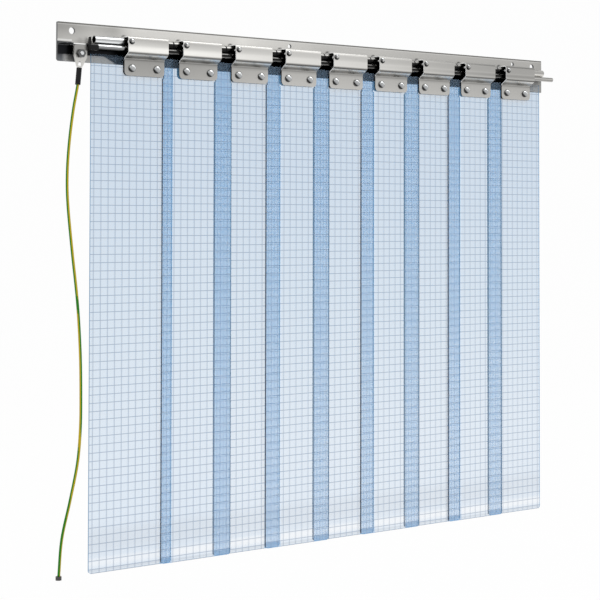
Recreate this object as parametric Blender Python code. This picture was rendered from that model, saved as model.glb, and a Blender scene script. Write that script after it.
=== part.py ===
"""A strip curtain for a doorway: a stainless rail with a round hanging tube, nine swinging
strip hangers, a rod that locks them against lifting, and an earth lead.

X runs along the rail, Y into the wall and Z up. The origin is the middle of the face that
lies on the wall. Lengths are in metres. The pieces that swing are placed from the centre line
of the tube, which is their hinge line.
"""

import math

import bmesh
import bpy
from mathutils import Vector

# The gap between two pieces that touch, and how far a cutter runs past what it cuts.
seat_gap = 0.0003
overrun = 0.002

# Strips.
strip_count = 9
strip_width = 0.098
strip_overlap = 0.023
strip_thickness = 0.002
strip_length = 0.5943
strip_corner_radius = 0.0035
first_strip_outer_reach = 0.0688
first_strip_inner_reach = 0.0412
relief_drop = 0.001

# Rail plate, which runs past the first and the last strip. Its holes are measured from its edges.
left_end_margin = 0.0396
right_end_margin = 0.0119
rail_height = 0.045
rail_thickness = 0.003
rail_corner_radius = 0.001
rail_low_corner_radius = 0.003
end_hole_radius = 0.004
end_hole_inset = 0.0187
end_hole_drop = 0.0095
small_hole_radius = 0.0027
small_hole_drop = 0.0075
small_hole_length_shares = (-0.075, 0.427)

# Hanging tube and the shelf that carries it.
tube_radius = 0.0048
tube_wall = 0.001
tube_reach = 0.009
tube_rise = 0.0034
tube_left_inset = 0.0423
tube_right_inset = 0.0081
shelf_thickness = 0.0012
shelf_lip = 0.001
shelf_bend_radius = 0.0018
shelf_leg_drop = 0.012

# Locking rod, which lies against the shelf's lower front edge. The moulded saddles that carry it
# stand inside the hangers, beside the guide screws.
rod_radius = 0.003
rod_seat_angle = math.radians(33)
rod_overhang = 0.0084
rod_chamfer = 0.0005
saddle_width = 0.004
saddle_screw_gap = 0.001
saddle_wall = 0.0015
saddle_back_reach = 0.002
saddle_top_rise = 0.0015
saddle_top_radius = 0.0009
saddle_corner_radius = 0.0025

# End stop that the left end of the rod meets, with a pointed ear that stands up over the shelf.
stop_width = 0.011
stop_tab_gap = 0.0006
stop_corner_radius = 0.001
stop_ear_width = 0.0029
stop_ear_slant = 0.0018
stop_ear_depth = 0.0037
stop_ear_rise = 0.0026

# Hangers, bent from one sheet.
hanger_spacing = 0.021
edge_gap = 0.0005
hanger_thickness = 0.0012
hook_front_room = 0.0062
hook_back_room = 0.0006
hook_bend_radius = 0.003
hook_tip_rise = 0.0025
face_drop = 0.0114
joggle_height = 0.0093
joggle_bend_radius = 0.0028
clamp_height = 0.0183
clamp_corner_radius = 0.005

# Packing plate, which sets the rear strips back, and the clamp screws with their nut plate.
packing_thickness = 0.0021
screw_radius = 0.0025
screw_hole_room = 0.0004
screw_head_radius = 0.00465
screw_head_height = 0.0029
screw_tip_length = 0.001
screw_drop = 0.0094
screw_side_inset = 0.01015
nut_plate_thickness = 0.001
nut_plate_height = 0.012
nut_plate_side = 0.0046
nut_plate_corner_radius = 0.0025
strip_top_drop = 0.0162

# Guide screw in each hanger's upper left corner.
guide_radius = 0.002
guide_head_radius = 0.0036
guide_head_height = 0.0021
guide_side_inset = 0.0043

# Earth tab, its bolt and the crimped lug.
tab_half_width = 0.00865
tab_inset = 0.0238
tab_screw_drop = 0.012
bolt_radius = 0.0025
bolt_head_radius = 0.0046
bolt_head_height = 0.0035
nut_radius = 0.0052
nut_height = 0.0032
bolt_tip_length = 0.0009
lug_thickness = 0.0012
lug_half_width = 0.0083
lug_top_rise = 0.0096
lug_shoulder_drop = 0.0046
lug_corner_radius = 0.0015
lug_neck_half_width = 0.0033
lug_neck_drop = 0.0158
lug_window_top = 0.0092
lug_window_bottom = 0.0142
lug_window_half_width = 0.0023
lug_lean = math.radians(5.2)
barrel_length = 0.0062
sleeve_radius = 0.0031
sleeve_length = 0.0194
sleeve_gap = 0.0008

# Earth lead, with its route as (x, z) from the middle of the lug's bolt.
lead_radius = 0.00165
lead_step = 0.008
lead_route = (
    (-0.0089, -0.0655),
    (-0.0136, -0.1010),
    (-0.0160, -0.1356),
    (-0.0152, -0.1705),
    (-0.0094, -0.2247),
    (-0.0023, -0.2824),
    (0.0018, -0.3403),
    (0.0029, -0.3936),
    (0.0023, -0.4298),
    (-0.0011, -0.4658),
    (-0.0104, -0.5078),
    (-0.0205, -0.5495),
    (-0.0242, -0.5930),
)
ferrule_radius = 0.0034
ferrule_height = 0.0042
ferrule_wall = 0.0009

# Smoothness of round shapes.
round_steps = 20
small_round_steps = 12
bend_steps = 4

# Places that follow from the sizes above.
pitch = strip_width - strip_overlap
left_hanger_margin = left_end_margin + first_strip_outer_reach
right_hanger_margin = right_end_margin + strip_width / 2
rail_length = (strip_count - 1) * pitch + left_hanger_margin + right_hanger_margin
rail_left = -rail_length / 2
rail_right = rail_length / 2
axis_y = -rail_thickness - tube_reach
axis_z = tube_rise
first_hanger_x = rail_left + left_hanger_margin
hanger_width = pitch - hanger_spacing
tube_left = rail_left + tube_left_inset
tube_right = rail_right - tube_right_inset

shelf_top = -tube_radius - seat_gap
shelf_bottom = shelf_top - shelf_thickness
rod_bore = rod_radius + seat_gap
rod_y = -shelf_lip - rod_bore * math.cos(rod_seat_angle)
rod_z = shelf_bottom - rod_bore * math.sin(rod_seat_angle)
tube_bore = tube_radius + seat_gap
carrier_front_y = rod_y - rod_bore - saddle_wall
carrier_floor_z = rod_z - rod_bore - saddle_wall
lip_front_y = -shelf_lip - seat_gap
saddle_inset = guide_side_inset + guide_radius + saddle_screw_gap + saddle_width / 2

face_y = -tube_radius - hook_front_room - hanger_thickness / 2
lip_y = tube_radius + hook_back_room + hanger_thickness / 2
clamp_back_y = -strip_thickness / 2 - seat_gap
clamp_y = clamp_back_y - hanger_thickness / 2
clamp_top = -face_drop - joggle_height
clamp_bottom = clamp_top - clamp_height
screw_z = clamp_top - screw_drop
screw_spacing = hanger_width - 2 * screw_side_inset
rear_shift = packing_thickness + seat_gap
stack_back = strip_thickness / 2 + seat_gap + packing_thickness

tab_x = rail_left + tab_inset
tab_front_y = -shelf_lip
tab_screw_z = shelf_top - tab_screw_drop
lug_y = tab_front_y - seat_gap - lug_thickness / 2
sleeve_top = -lug_neck_drop - sleeve_gap
stop_x = tab_x + tab_half_width + stop_tab_gap + stop_width / 2


# Helpers for outlines: lists of points in a plane.
def arc(centre, radius, start, end, steps):
    """Points on a circle from one angle to another, in degrees."""
    points = []
    for step in range(steps + 1):
        angle = math.radians(start + (end - start) * step / steps)
        points.append((centre[0] + radius * math.cos(angle), centre[1] + radius * math.sin(angle)))
    return points


def rounded_box(low, high, radius, steps=bend_steps):
    """Outline of a rectangle with four round corners."""
    (x0, z0), (x1, z1) = low, high
    return (
        arc((x0 + radius, z0 + radius), radius, 180, 270, steps)
        + arc((x1 - radius, z0 + radius), radius, 270, 360, steps)
        + arc((x1 - radius, z1 - radius), radius, 0, 90, steps)
        + arc((x0 + radius, z1 - radius), radius, 90, 180, steps)
    )


def thick_path(path, thickness):
    """Closed outline of a sheet whose centre line is an open path."""
    left, right = [], []
    for index, point in enumerate(path):
        before = Vector(path[max(index - 1, 0)])
        here = Vector(point)
        after = Vector(path[min(index + 1, len(path) - 1)])
        into, out = here - before, after - here
        into = into.normalized() if into.length else out.normalized()
        out = out.normalized() if out.length else into
        along = (into + out).normalized()
        normal = Vector((-along.y, along.x))
        reach = thickness / 2 / max(along.dot(into), 0.5)
        left.append(tuple(here + normal * reach))
        right.append(tuple(here - normal * reach))
    return left + right[::-1]


def s_bend(start, end, radius, steps):
    """A bend and a counter bend, with a straight between them, on a path that runs down."""
    drop = start[1] - end[1]
    shift = abs(end[0] - start[0])
    side = math.copysign(1, end[0] - start[0])
    straight = math.sqrt((shift / 2 - radius) ** 2 + (drop / 2) ** 2 - radius**2)
    turn = math.atan2(drop / 2, radius - shift / 2) - math.atan2(straight, radius)
    first, second = [], []
    for step in range(1, steps + 1):
        angle = turn * step / steps
        across = side * radius * (1 - math.cos(angle))
        down = radius * math.sin(angle)
        first.append((start[0] + across, start[1] - down))
        second.append((end[0] - across, end[1] + down))
    return first + second[::-1]


# Helpers that turn outlines into solids.
def finish_bmesh(bm, name):
    bmesh.ops.recalc_face_normals(bm, faces=bm.faces)
    mesh = bpy.data.meshes.new(name)
    bm.to_mesh(mesh)
    bm.free()
    return mesh


def add_prism(bm, outline, along, low, high):
    """Adds an outline pushed along X, Y or Z. The outline holds the other two coordinates."""

    def place(point, depth):
        a, b = point
        return {"X": (depth, a, b), "Y": (a, depth, b), "Z": (a, b, depth)}[along]

    first = [bm.verts.new(place(point, low)) for point in outline]
    second = [bm.verts.new(place(point, high)) for point in outline]
    bm.faces.new(first)
    bm.faces.new(second[::-1])
    for index in range(len(outline)):
        after = (index + 1) % len(outline)
        bm.faces.new((first[index], first[after], second[after], second[index]))


def prism(name, outline, along, low, high):
    bm = bmesh.new()
    add_prism(bm, outline, along, low, high)
    return finish_bmesh(bm, name)


def add_turned(bm, profile, along, centre, steps, closed=False):
    """Adds a turned shape. Its profile is (radius, height) and runs from axis to axis, or is closed."""
    rings = []
    for radius, height in profile:
        if radius == 0:
            rings.append([turned_point(bm, 0, height, 0, along, centre)] * steps)
        else:
            rings.append(
                [
                    turned_point(bm, radius, height, 2 * math.pi * step / steps, along, centre)
                    for step in range(steps)
                ]
            )
    pairs = list(zip(rings, rings[1:] + rings[:1] if closed else rings[1:]))
    for lower, upper in pairs:
        for step in range(steps):
            after = (step + 1) % steps
            corners = [lower[step], lower[after], upper[after], upper[step]]
            unique = []
            for corner in corners:
                if corner not in unique:
                    unique.append(corner)
            if len(unique) > 2:
                bm.faces.new(unique)


def turned_point(bm, radius, height, angle, along, centre):
    a, b = radius * math.cos(angle), radius * math.sin(angle)
    offset = {"X": (height, a, b), "Y": (a, height, b), "Z": (a, b, height)}[along]
    return bm.verts.new(Vector(centre) + Vector(offset))


def add_cylinder(bm, along, centre, radius, low, high, steps=small_round_steps):
    add_turned(bm, [(0, low), (radius, low), (radius, high), (0, high)], along, centre, steps)


def dome_profile(radius, height, base, direction, steps):
    """Profile of a button head, from its rim to its crown, rising in the given direction."""
    points = [(radius, base)]
    for step in range(1, steps + 1):
        angle = math.pi / 2 * step / steps
        points.append(
            (radius * math.cos(angle) if step < steps else 0, base + direction * height * math.sin(angle))
        )
    return points


def cut(mesh, fill_cutter, operation="DIFFERENCE"):
    """A copy of the mesh after a Boolean with the shapes that fill_cutter adds."""
    bm = bmesh.new()
    fill_cutter(bm)
    body = bpy.data.objects.new("cut_body", mesh)
    cutter = bpy.data.objects.new("cutter", finish_bmesh(bm, "cutter"))
    for helper in (body, cutter):
        bpy.context.scene.collection.objects.link(helper)
    boolean = body.modifiers.new("cut", "BOOLEAN")
    boolean.operation = operation
    boolean.solver = "EXACT"
    boolean.object = cutter
    bpy.context.view_layer.update()
    graph = bpy.context.evaluated_depsgraph_get()
    result = bpy.data.meshes.new_from_object(body.evaluated_get(graph))
    result.name = mesh.name
    cutter_mesh = cutter.data
    for helper in (body, cutter):
        bpy.data.objects.remove(helper, do_unlink=True)
    bpy.data.meshes.remove(cutter_mesh)
    return result


# Helpers that place objects.
def make_material(name, color, roughness, metallic, alpha=1.0):
    material = bpy.data.materials.new(name)
    material.use_nodes = True
    shader = material.node_tree.nodes["Principled BSDF"]
    shader.inputs["Base Color"].default_value = (*color, 1)
    shader.inputs["Roughness"].default_value = roughness
    shader.inputs["Metallic"].default_value = metallic
    shader.inputs["Alpha"].default_value = alpha
    material.diffuse_color = (*color, alpha)
    return material


def add_empty(name, location, parent=None):
    empty = bpy.data.objects.new(name, None)
    empty.empty_display_size = tube_reach
    empty.location = location
    empty.parent = parent
    bpy.context.scene.collection.objects.link(empty)
    return empty


def add_part(name, mesh, material, parent=None, location=(0, 0, 0), smooth_angle=None):
    part = bpy.data.objects.new(name, mesh)
    part.location = location
    part.parent = parent
    if not mesh.materials:
        mesh.materials.append(material)
    if smooth_angle:
        mesh.shade_smooth()
        mesh.set_sharp_from_angle(angle=math.radians(smooth_angle))
    bpy.context.scene.collection.objects.link(part)
    return part


# Rail plate, shelf and tube.
def rail_plate_mesh():
    """The plate on the wall. Its lower left corner is rounder than the other three."""
    top = rail_height / 2
    low, corner = rail_low_corner_radius, rail_corner_radius
    outline = arc((rail_left + low, -top + low), low, 180, 270, bend_steps)
    outline += arc((rail_right - corner, -top + corner), corner, 270, 360, bend_steps)
    outline += arc((rail_right - corner, top - corner), corner, 0, 90, bend_steps)
    outline += arc((rail_left + corner, top - corner), corner, 90, 180, bend_steps)
    mesh = prism("rail_plate", outline, "Y", -rail_thickness, 0)

    def holes(bm):
        reach = (-rail_thickness - overrun, overrun)
        for x in (rail_left + end_hole_inset, rail_right - end_hole_inset):
            add_cylinder(bm, "Y", (x, 0, top - end_hole_drop), end_hole_radius, *reach, round_steps)
        for share in small_hole_length_shares:
            place = (share * rail_length, 0, top - small_hole_drop)
            add_cylinder(bm, "Y", place, small_hole_radius, *reach)

    return cut(mesh, holes)


def shelf_mesh():
    """The angle that carries the tube, with the earth tab bent down from its front edge."""
    middle = (shelf_top + shelf_bottom) / 2
    back = tube_reach - seat_gap - shelf_thickness / 2
    corner = (back - shelf_bend_radius, middle - shelf_bend_radius)
    path = (
        [(back, middle - shelf_leg_drop)]
        + arc(corner, shelf_bend_radius, 0, 90, bend_steps)
        + [(-shelf_lip, middle)]
    )
    mesh = prism("shelf", thick_path(path, shelf_thickness), "X", rail_left, tube_right)

    def tab(bm):
        outline = [(tab_x + tab_half_width, shelf_top), (tab_x - tab_half_width, shelf_top)]
        outline += arc((tab_x, tab_screw_z), tab_half_width, 180, 360, small_round_steps)
        add_prism(bm, outline, "Y", tab_front_y, tab_front_y + shelf_thickness)

    def tab_hole(bm):
        reach = (-overrun, overrun + shelf_thickness)
        place = (tab_x, tab_front_y, tab_screw_z)
        add_cylinder(bm, "Y", place, bolt_radius + seat_gap, *reach, round_steps)

    return cut(cut(mesh, tab, "UNION"), tab_hole)


def tube_mesh():
    bm = bmesh.new()
    inner = tube_radius - tube_wall
    profile = [
        (tube_radius, tube_left),
        (tube_radius, tube_right),
        (inner, tube_right),
        (inner, tube_left),
    ]
    add_turned(bm, profile, "X", (0, 0, 0), round_steps, closed=True)
    return finish_bmesh(bm, "hanging_tube")


# Rod, saddles and end stop.
def rod_mesh():
    left = stop_x + stop_width / 2 + seat_gap
    right = rail_right + rod_overhang
    bm = bmesh.new()
    profile = [
        (0, left),
        (rod_radius - rod_chamfer, left),
        (rod_radius, left + rod_chamfer),
        (rod_radius, right - rod_chamfer),
        (rod_radius - rod_chamfer, right),
        (0, right),
    ]
    add_turned(bm, profile, "X", (0, 0, 0), round_steps)
    return finish_bmesh(bm, "locking_rod")


def saddle_mesh():
    """A moulded saddle that hugs the front of the tube, clears the shelf's edge and rings the rod."""
    half = saddle_width / 2
    reach = (-half - overrun, half + overrun)
    top, top_corner, corner = saddle_top_rise, saddle_top_radius, saddle_corner_radius
    front, back, floor = carrier_front_y, saddle_back_reach, carrier_floor_z
    outline = [(0, top)]
    outline += arc((front + top_corner, top - top_corner), top_corner, 90, 180, bend_steps)
    outline += arc((front + corner, floor + corner), corner, 180, 270, bend_steps)
    outline += [(back, floor), (back, shelf_bottom - seat_gap), (lip_front_y, shelf_bottom - seat_gap)]
    outline += [(lip_front_y, shelf_top + seat_gap), (0, shelf_top + seat_gap)]
    mesh = prism("saddle", outline, "X", -half, half)

    def tube_hollow(bm):
        add_cylinder(bm, "X", (0, 0, 0), tube_bore, *reach, round_steps)

    def rod_hole(bm):
        add_cylinder(bm, "X", (0, rod_y, rod_z), rod_bore, *reach, round_steps)

    return cut(cut(mesh, tube_hollow), rod_hole)


def end_stop_mesh():
    """A moulded block under the shelf's edge that stops the rod, with an ear before the edge."""
    half = stop_width / 2
    top = shelf_bottom - seat_gap
    outline = rounded_box((carrier_front_y, carrier_floor_z), (saddle_back_reach, top), stop_corner_radius)
    mesh = prism("end_stop", outline, "X", -half, half)

    def ear(bm):
        foot = top - stop_corner_radius
        left, right = -half, -half + stop_ear_width
        outline = [(left, foot), (right, foot), (right, stop_ear_rise), (left + stop_ear_slant, stop_ear_rise)]
        add_prism(bm, outline, "Y", lip_front_y - stop_ear_depth, lip_front_y)

    return cut(mesh, ear, "UNION")


# Hanger, strip, clamp plate and screws, placed from the tube's centre line.
def hanger_path():
    """Side view of the bent sheet: back lip, hook over the tube, flat face, joggle and clamp leg."""
    top = tube_radius + seat_gap + hanger_thickness / 2
    bend = hook_bend_radius
    path = [(lip_y, hook_tip_rise)]
    path += arc((lip_y - bend, top - bend), bend, 0, 90, bend_steps)
    path += arc((face_y + bend, top - bend), bend, 90, 180, bend_steps)
    path += [(face_y, -face_drop)]
    path += s_bend((face_y, -face_drop), (clamp_y, clamp_top), joggle_bend_radius, bend_steps)
    path += [(clamp_y, clamp_top), (clamp_y, clamp_bottom)]
    return path


def add_corner_cutters(bm, left, right, bottom, radius, low, high):
    """Cutters that round the two lower corners of a sheet seen from the front."""
    for side, edge in ((-1, left), (1, right)):
        centre = (edge - side * radius, bottom + radius)
        curve = arc(centre, radius, 270, 270 + side * 90, bend_steps)
        outside = edge + side * overrun
        below = bottom - overrun
        outline = curve + [(outside, centre[1]), (outside, below), (centre[0], below)]
        add_prism(bm, outline, "Y", low, high)


def add_screw_holes(bm, low, high):
    for side in (-1, 1):
        place = (side * screw_spacing / 2, 0, screw_z)
        add_cylinder(bm, "Y", place, screw_radius + screw_hole_room, low, high)


def hanger_mesh():
    """The bent sheet, with the guide screw made up in its upper left corner."""
    half = hanger_width / 2
    mesh = prism("hanger", thick_path(hanger_path(), hanger_thickness), "X", -half, half)
    front = face_y - hanger_thickness - overrun
    back = clamp_back_y + overrun

    def holes(bm):
        add_screw_holes(bm, front, back)

    def corners(bm):
        add_corner_cutters(bm, -half, half, clamp_bottom, clamp_corner_radius, front, back)

    def guide_screw(bm):
        """Its nose stands just clear of the tube, so the hanger cannot rattle."""
        seat = face_y - hanger_thickness / 2
        nose = -tube_radius - seat_gap
        profile = [(0, nose), (guide_radius, nose), (guide_radius, face_y)]
        profile += [(guide_head_radius, seat + hanger_thickness / 4)]
        profile += dome_profile(guide_head_radius, guide_head_height, seat, -1, bend_steps)
        add_turned(bm, profile, "Y", (-half + guide_side_inset, 0, 0), small_round_steps)

    return cut(cut(cut(mesh, holes), corners), guide_screw, "UNION")


def strip_mesh(left_reach, right_reach, left_neighbour, right_neighbour):
    """A flat strip. Its upper corners are relieved beside the neighbours' hangers."""
    clear = pitch - hanger_width / 2 - edge_gap
    top = -strip_top_drop
    bottom = top - strip_length
    radius = strip_corner_radius
    relief_z = clamp_bottom - relief_drop

    def upper_corner(side, reach, neighbour):
        if neighbour and reach > clear:
            return [(side * reach, relief_z), (side * clear, relief_z), (side * clear, top)]
        return [(side * reach, top)]

    outline = arc((-left_reach + radius, bottom + radius), radius, 180, 270, bend_steps)
    outline += arc((right_reach - radius, bottom + radius), radius, 270, 360, bend_steps)
    outline += upper_corner(1, right_reach, right_neighbour)
    outline += upper_corner(-1, left_reach, left_neighbour)[::-1]
    half = strip_thickness / 2
    mesh = prism("strip", outline, "Y", -half, half)

    def holes(bm):
        add_screw_holes(bm, -half - overrun, half + overrun)

    return cut(mesh, holes)


def packing_mesh():
    """The plate that shares the hanger's clamp outline, behind a front strip or before a rear one."""
    half = hanger_width / 2
    depth = packing_thickness / 2
    outline = [(half, clamp_top), (-half, clamp_top)]
    corner = clamp_corner_radius
    outline += arc((-half + corner, clamp_bottom + corner), corner, 180, 270, bend_steps)
    outline += arc((half - corner, clamp_bottom + corner), corner, 270, 360, bend_steps)
    mesh = prism("packing", outline, "Y", -depth, depth)

    def holes(bm):
        add_screw_holes(bm, -depth - overrun, depth + overrun)

    return cut(mesh, holes)


def nut_plate_mesh():
    """The plate at the back of the stack, with both clamp screws made up through it."""
    half = screw_spacing / 2 + nut_plate_side
    front = stack_back + seat_gap
    back = front + nut_plate_thickness
    middle = nut_plate_height / 2
    outline = rounded_box((-half, screw_z - middle), (half, screw_z + middle), nut_plate_corner_radius)
    mesh = prism("nut_plate", outline, "Y", front, back)
    seat = clamp_y - hanger_thickness / 2 - seat_gap

    def screws(bm):
        for side in (-1, 1):
            profile = [(0, back + screw_tip_length), (screw_radius, back + screw_tip_length)]
            profile += [(screw_radius, seat)]
            profile += dome_profile(screw_head_radius, screw_head_height, seat, -1, bend_steps)
            place = (side * screw_spacing / 2, 0, screw_z)
            add_turned(bm, profile, "Y", place, small_round_steps)

    return cut(mesh, screws, "UNION")


# Earthing, placed from the middle of the lug's bolt.
def earth_bolt_mesh():
    back = shelf_thickness + seat_gap
    tip = lug_y - tab_front_y - lug_thickness / 2 - seat_gap - nut_height - bolt_tip_length
    bm = bmesh.new()
    hexagon = arc((0, 0), bolt_head_radius, 0, 300, 5)
    add_prism(bm, hexagon, "Y", back, back + bolt_head_height)
    mesh = finish_bmesh(bm, "earth_bolt")

    def shank(bm):
        inside = back + bolt_head_height / 2
        profile = [
            (0, inside),
            (bolt_radius, inside),
            (bolt_radius, tip + rod_chamfer),
            (bolt_radius - rod_chamfer, tip),
            (0, tip),
        ]
        add_turned(bm, profile, "Y", (0, 0, 0), small_round_steps)

    return cut(mesh, shank, "UNION")


def earth_nut_mesh():
    front = lug_y - tab_front_y - lug_thickness / 2 - seat_gap
    hexagon = arc((0, 0), nut_radius, 0, 300, 5)
    mesh = prism("earth_nut", hexagon, "Y", front - nut_height, front)

    def bore(bm):
        reach = (front - nut_height - overrun, front + overrun)
        add_cylinder(bm, "Y", (0, 0, 0), bolt_radius + seat_gap, *reach)

    return cut(mesh, bore)


def lug_mesh():
    """A tongue that stands square on the tab, with a window at its leaning neck and a round barrel."""
    half = lug_thickness / 2
    side, top, corner = lug_half_width, lug_top_rise, lug_corner_radius
    upright = [(-side, -lug_shoulder_drop), (side, -lug_shoulder_drop)]
    upright += arc((side - corner, top - corner), corner, 0, 90, bend_steps)
    upright += arc((-side + corner, top - corner), corner, 90, 180, bend_steps)
    lean_cos, lean_sin = math.cos(lug_lean), math.sin(lug_lean)
    outline = [(x * lean_cos - z * lean_sin, x * lean_sin + z * lean_cos) for x, z in upright]
    outline = outline[1:] + outline[:1]
    outline += [(-lug_neck_half_width, -lug_neck_drop), (lug_neck_half_width, -lug_neck_drop)]
    mesh = prism("lug", outline, "Y", -half, half)

    def holes(bm):
        add_cylinder(bm, "Y", (0, 0, 0), bolt_radius + seat_gap, -half - overrun, half + overrun)
        wide, narrow = lug_window_half_width, lug_window_half_width * 0.6
        window = [
            (-wide, -lug_window_bottom),
            (wide, -lug_window_bottom),
            (narrow, -lug_window_top),
            (-narrow, -lug_window_top),
        ]
        add_prism(bm, window, "Y", -half - overrun, half + overrun)

    def barrel(bm):
        low = -lug_neck_drop - barrel_length
        high = (-lug_neck_drop - lug_window_bottom) / 2
        add_cylinder(bm, "Z", (0, 0, 0), lead_radius, low, high)

    return cut(cut(mesh, holes), barrel, "UNION")


def sleeve_mesh():
    bore = lead_radius + seat_gap
    profile = [
        (sleeve_radius, sleeve_top),
        (bore, sleeve_top),
        (bore, sleeve_top - sleeve_length),
        (sleeve_radius, sleeve_top - sleeve_length),
    ]
    bm = bmesh.new()
    add_turned(bm, profile, "Z", (0, 0, 0), round_steps, closed=True)
    return finish_bmesh(bm, "lead_sleeve")


def smooth_route(points):
    """Evenly spaced points on a smooth curve through the route's points."""
    points = [Vector(point) for point in points]
    padded = [2 * points[0] - points[1], *points, 2 * points[-1] - points[-2]]
    fine_steps = 24
    curve = []
    for p0, p1, p2, p3 in zip(padded, padded[1:], padded[2:], padded[3:]):
        for step in range(fine_steps):
            t = step / fine_steps
            curve.append(
                (
                    2 * p1
                    + (p2 - p0) * t
                    + (2 * p0 - 5 * p1 + 4 * p2 - p3) * t**2
                    + (3 * p1 - p0 - 3 * p2 + p3) * t**3
                )
                / 2
            )
    curve.append(points[-1])
    lengths = [0]
    for first, second in zip(curve, curve[1:]):
        lengths.append(lengths[-1] + (second - first).length)
    count = max(2, round(lengths[-1] / lead_step))
    spaced, index = [], 0
    for number in range(count + 1):
        target = lengths[-1] * number / count
        while index < len(curve) - 2 and lengths[index + 1] < target:
            index += 1
        span = lengths[index + 1] - lengths[index]
        spaced.append(curve[index].lerp(curve[index + 1], (target - lengths[index]) / span))
    return spaced


def lead_points():
    """The lead's centre line from inside the sleeve to inside the end ferrule."""
    start = -lug_neck_drop - barrel_length - seat_gap
    end = sleeve_top - sleeve_length
    lean = Vector((-math.sin(lug_lean), -math.cos(lug_lean)))
    ends = [lean * -start, lean * -end]
    return smooth_route([*ends, *lead_route])


def add_lead(material, parent):
    points = lead_points()
    curve = bpy.data.curves.new("earth_lead", "CURVE")
    curve.dimensions = "3D"
    curve.bevel_depth = lead_radius
    curve.bevel_resolution = 2
    curve.use_fill_caps = True
    spline = curve.splines.new("POLY")
    spline.points.add(len(points) - 1)
    for place, point in zip(spline.points, points):
        place.co = (point.x, 0, point.y, 1)
    lead = bpy.data.objects.new("earth_lead", curve)
    lead.parent = parent
    curve.materials.append(material)
    bpy.context.scene.collection.objects.link(lead)
    return lead


def ferrule_mesh():
    """A cup that closes the free end of the lead."""
    bore = lead_radius + seat_gap
    end = lead_route[-1][1]
    floor = end - seat_gap
    profile = [
        (0, floor - ferrule_wall),
        (ferrule_radius, floor - ferrule_wall),
        (ferrule_radius, floor - ferrule_wall + ferrule_height),
        (bore, floor - ferrule_wall + ferrule_height),
        (bore, floor),
        (0, floor),
    ]
    bm = bmesh.new()
    add_turned(bm, profile, "Z", (0, 0, 0), small_round_steps)
    return finish_bmesh(bm, "lead_ferrule")


def build():
    for old in list(bpy.data.objects):
        bpy.data.objects.remove(old, do_unlink=True)

    stainless = make_material("stainless", (0.62, 0.61, 0.58), 0.32, 1.0)
    bright_steel = make_material("bright_steel", (0.72, 0.72, 0.7), 0.15, 1.0)
    clear_pvc = make_material("clear_pvc", (0.72, 0.83, 0.93), 0.12, 0.0, 0.45)
    black_nylon = make_material("black_nylon", (0.012, 0.012, 0.014), 0.35, 0.0)
    black_rubber = make_material("black_rubber", (0.02, 0.02, 0.022), 0.6, 0.0)
    lead_cover = make_material("lead_cover", (0.25, 0.5, 0.08), 0.4, 0.0)

    tube_line = add_empty("tube_line", (0, axis_y, axis_z))
    add_part("rail_plate", rail_plate_mesh(), stainless)
    add_part("shelf", shelf_mesh(), stainless, tube_line, smooth_angle=30)
    add_part("hanging_tube", tube_mesh(), bright_steel, tube_line, smooth_angle=40)
    rod_line = add_empty("rod_line", (0, rod_y, rod_z), tube_line)
    add_part("locking_rod", rod_mesh(), bright_steel, rod_line, smooth_angle=50)

    add_part("end_stop", end_stop_mesh(), black_nylon, tube_line, (stop_x, 0, 0))

    saddle, hanger, packing, nut_plate = saddle_mesh(), hanger_mesh(), packing_mesh(), nut_plate_mesh()
    half_strip = strip_width / 2
    first_strip = strip_mesh(first_strip_outer_reach, first_strip_inner_reach, False, True)
    inner_strip = strip_mesh(half_strip, half_strip, True, True)
    last_strip = strip_mesh(half_strip, half_strip, True, False)
    front_packing_y = strip_thickness / 2 + seat_gap + packing_thickness / 2
    rear_packing_y = clamp_back_y + seat_gap + packing_thickness / 2

    for number in range(1, strip_count + 1):
        x = first_hanger_x + (number - 1) * pitch
        saddle_x = x - hanger_width / 2 + saddle_inset
        add_part(f"saddle_{number}", saddle, black_nylon, tube_line, (saddle_x, 0, 0), 30)
        hinge = add_empty(f"hinge_{number}", (x, 0, 0), tube_line)
        add_part(f"hanger_{number}", hanger, stainless, hinge, smooth_angle=30)
        add_part(f"nut_plate_{number}", nut_plate, bright_steel, hinge, smooth_angle=50)
        in_front = number % 2 == 0
        strip = {1: first_strip, strip_count: last_strip}.get(number, inner_strip)
        strip_y = 0 if in_front else rear_shift
        packing_y = front_packing_y if in_front else rear_packing_y
        add_part(f"strip_{number}", strip, clear_pvc, hinge, (0, strip_y, 0))
        add_part(f"packing_{number}", packing, black_rubber, hinge, (0, packing_y, 0))

    earth = add_empty("earth_point", (tab_x, tab_front_y, tab_screw_z), tube_line)
    add_part("earth_bolt", earth_bolt_mesh(), bright_steel, earth, smooth_angle=40)
    add_part("earth_nut", earth_nut_mesh(), bright_steel, earth)
    lug_line = add_empty("lug_line", (0, lug_y - tab_front_y, 0), earth)
    lug_turn = add_empty("lug_turn", (0, 0, 0), lug_line)
    lug_turn.rotation_euler = (0, lug_lean, 0)
    add_part("earth_lug", lug_mesh(), bright_steel, lug_turn, smooth_angle=30)
    add_part("lead_sleeve", sleeve_mesh(), black_nylon, lug_turn, smooth_angle=40)
    add_lead(lead_cover, lug_line)
    add_part(
        "lead_ferrule", ferrule_mesh(), bright_steel, lug_line, (lead_route[-1][0], 0, 0), 40
    )


build()
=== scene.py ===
"""Looks of the strip curtain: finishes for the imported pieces, detailed fixings, the two-colour
earth lead, a plain studio and the camera. Metres, in the frame of the model.
"""

import math

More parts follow.
